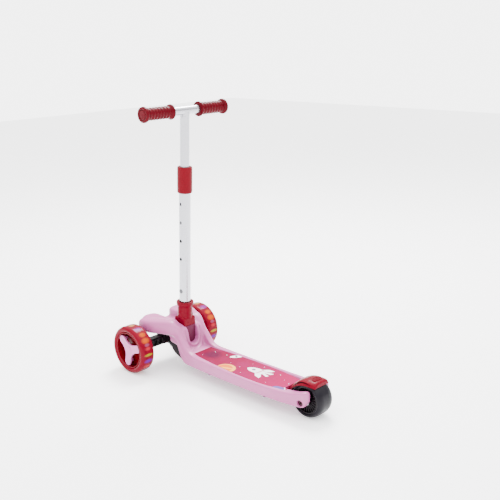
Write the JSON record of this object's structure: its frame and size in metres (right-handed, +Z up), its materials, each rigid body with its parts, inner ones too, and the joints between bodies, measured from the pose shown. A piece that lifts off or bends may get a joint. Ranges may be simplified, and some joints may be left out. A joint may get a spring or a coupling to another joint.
{
  "type": "kick scooter",
  "caption": "Children's lean-to-steer kick scooter with a height-adjustable T-bar, light-up front wheels, a printed deck and a press-down rear fender brake.",
  "frame": {"origin": "ground level under the centre of the bounding box", "axes": "+X forward, +Y the rider's left, +Z up; all wheels stand on z = 0"},
  "size_m": [0.5871, 0.2576, 0.6625],
  "materials": {
    "pink_plastic": "gloss",
    "mat_print": "satin, printed",
    "black_plastic": "satin",
    "crimson_plastic": "gloss",
    "aluminium_tube": "satin anodised",
    "steel": "zinc plated",
    "grip_rubber": "satin",
    "bushing_rubber": "matt",
    "sleeve_brass": "satin",
    "wheel_clear": "glossy translucent polyurethane",
    "rim_red": "gloss",
    "light_module": "gloss",
    "tyre_black": "gloss",
    "hub_black": "satin",
    "button_grey": "satin"
  },
  "bodies": {
    "deck": {"deck_shell": "pink_plastic", "deck_mat": "mat_print", "belly_cover": "black_plastic", "cover_screws": "steel", "stem_collar": "crimson_plastic", "stem_post": "steel", "lower_tube": "aluminium_tube", "height_sleeve": "crimson_plastic", "guide_bush": "black_plastic", "base_spring": "steel", "kingpin_bolt": "steel", "kingpin_nut": "steel", "steer_bushings": "bushing_rubber", "rear_axle": "steel", "rear_axle_nut": "steel", "rear_spacers": "steel", "brake_pin": "steel", "brake_spring": "steel"},
    "handlebar": {"upright_tube": "aluminium_tube", "crossbar": "aluminium_tube", "stem_foot": "black_plastic", "height_clip": "steel", "grip_left": "grip_rubber", "grip_right": "grip_rubber", "bar_plug_left": "crimson_plastic", "bar_plug_right": "crimson_plastic"},
    "height_button": {"height_button": "button_grey"},
    "base_button": {"base_button": "button_grey"},
    "front_truck": {"front_truck": "black_plastic", "truck_sleeve": "sleeve_brass", "front_axle": "steel", "front_axle_nuts": "steel"},
    "wheel_left": {"tyre_left": "wheel_clear", "rim_left": "rim_red", "hub_cover_left": "pink_plastic", "wheel_lights_left": "light_module", "bearings_left": "steel"},
    "wheel_right": {"tyre_right": "wheel_clear", "rim_right": "rim_red", "hub_cover_right": "pink_plastic", "wheel_lights_right": "light_module", "bearings_right": "steel"},
    "rear_wheel": {"rear_tyre": "tyre_black", "rear_hub": "hub_black", "rear_bearings": "steel"},
    "rear_brake": {"brake_fender": "crimson_plastic", "brake_pad": "crimson_plastic", "brake_shoe": "steel"}
  },
  "joints": [
    {"name": "lean_steer", "type": "hinge", "parent": "deck", "child": "front_truck", "pos_m": [0.22355, 0, 0.066], "axis": [0.7071, 0, 0.7071], "range_deg": [-10, 10], "stiffness_Nm_per_rad": 40, "deforming": ["steer_bushings"]},
    {"name": "wheel_left_spin", "type": "hinge", "parent": "front_truck", "child": "wheel_left", "pos_m": [0.23355, 0.10915, 0.06], "axis": [0, 1, 0], "continuous": true},
    {"name": "wheel_right_spin", "type": "hinge", "parent": "front_truck", "child": "wheel_right", "pos_m": [0.23355, -0.10915, 0.06], "axis": [0, 1, 0], "continuous": true},
    {"name": "rear_wheel_spin", "type": "hinge", "parent": "deck", "child": "rear_wheel", "pos_m": [-0.25185, 0, 0.0417], "axis": [0, 1, 0], "continuous": true},
    {"name": "brake_press", "type": "hinge", "parent": "deck", "child": "rear_brake", "pos_m": [-0.1965, 0, 0.0455], "axis": [0, -1, 0], "range_deg": [0, 1.2], "stiffness_Nm_per_rad": 3, "springref_deg": -8.59, "deforming": ["brake_spring"]},
    {"name": "handlebar_height", "type": "slide", "parent": "deck", "child": "handlebar", "axis": [-0.0586, 0, 0.9983], "range_m": [-0.092, 0.046], "deforming": ["height_clip", "height_button"]},
    {"name": "height_button_press", "type": "slide", "parent": "handlebar", "child": "height_button", "axis": [0, -1, 0], "range_m": [0, 0.0034], "stiffness_N_per_m": 800, "springref_m": -0.002, "deforming": ["height_clip"]},
    {"name": "base_button_press", "type": "slide", "parent": "deck", "child": "base_button", "axis": [0, -1, 0], "range_m": [0, 0.003], "stiffness_N_per_m": 800, "springref_m": -0.002, "deforming": ["base_spring"]}
  ]
}
